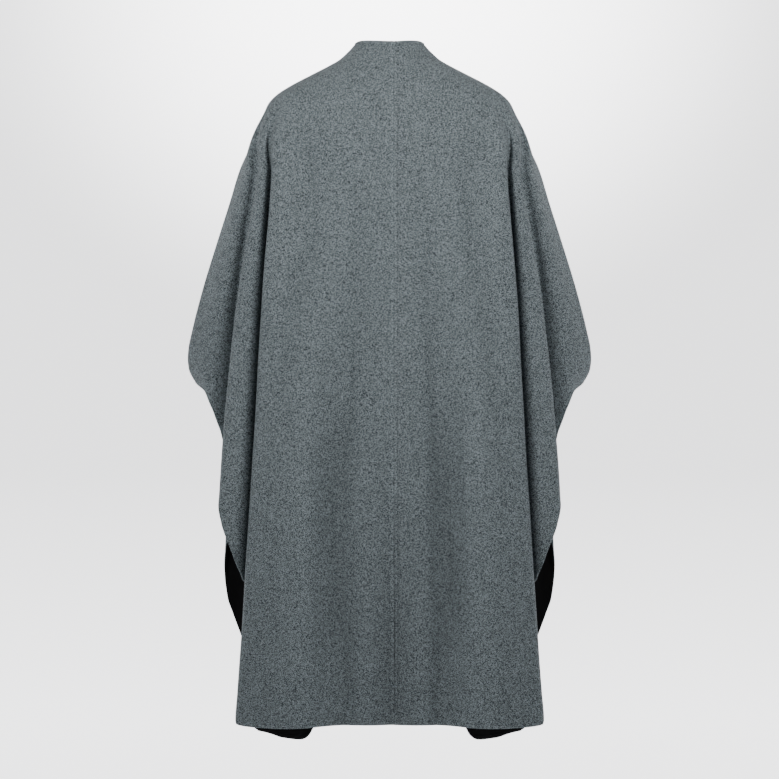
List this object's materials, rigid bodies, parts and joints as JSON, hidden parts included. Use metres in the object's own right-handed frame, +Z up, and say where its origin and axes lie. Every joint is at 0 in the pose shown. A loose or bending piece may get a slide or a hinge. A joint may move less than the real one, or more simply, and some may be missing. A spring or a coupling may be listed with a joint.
{
  "type": "wool cape coat worn open",
  "caption": "Long open-front cape coat in thick wool cloth, with wide wing sides, a grown-on stand collar and rounded front corners, hanging in its worn shape.",
  "frame": {"origin": "middle of the neck opening, level with the base of the neck, where the wearer's shoulders carry the cape", "axes": "+Z up, +Y the way the wearer faces (the cape is open on that side), +X the wearer's right"},
  "size_m": [0.699, 0.3223, 1.2222],
  "materials": {
    "wool": "matte"
  },
  "bodies": {
    "root": {"back_left": "wool", "back_right": "wool", "front_left": "wool", "front_right": "wool"}
  },
  "joints": []
}
